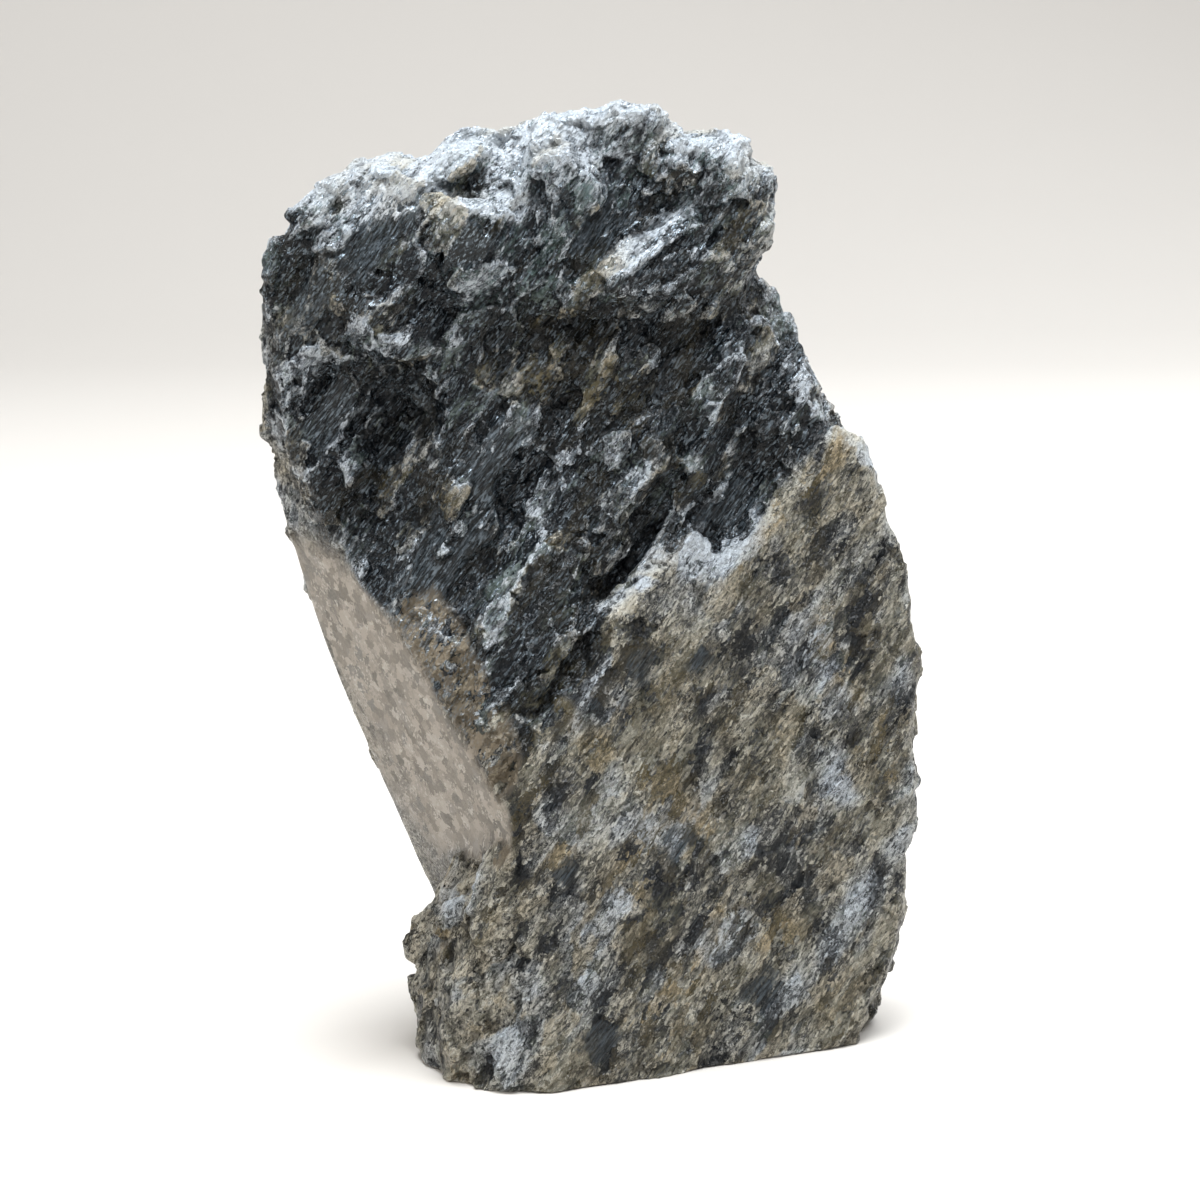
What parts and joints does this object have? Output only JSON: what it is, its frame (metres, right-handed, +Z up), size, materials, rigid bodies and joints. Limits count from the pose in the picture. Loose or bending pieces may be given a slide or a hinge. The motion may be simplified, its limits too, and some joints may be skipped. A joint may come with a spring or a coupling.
{
  "type": "labradorite freeform",
  "caption": "Rough upright piece of labradorite with a broken crystalline front, one smooth side and a sawn flat base to stand on.",
  "frame": {"origin": "middle of the stone's bounding box, on its sawn resting face", "axes": "+Z up from the resting face, -Y towards the broken front that the picture shows, +X to the right of that front"},
  "size_m": [0.1156, 0.0692, 0.1654],
  "materials": {
    "labradorite": "rough broken feldspar with glassy cleavage faces"
  },
  "bodies": {
    "root": {"labradorite_stone": "labradorite"}
  },
  "joints": []
}
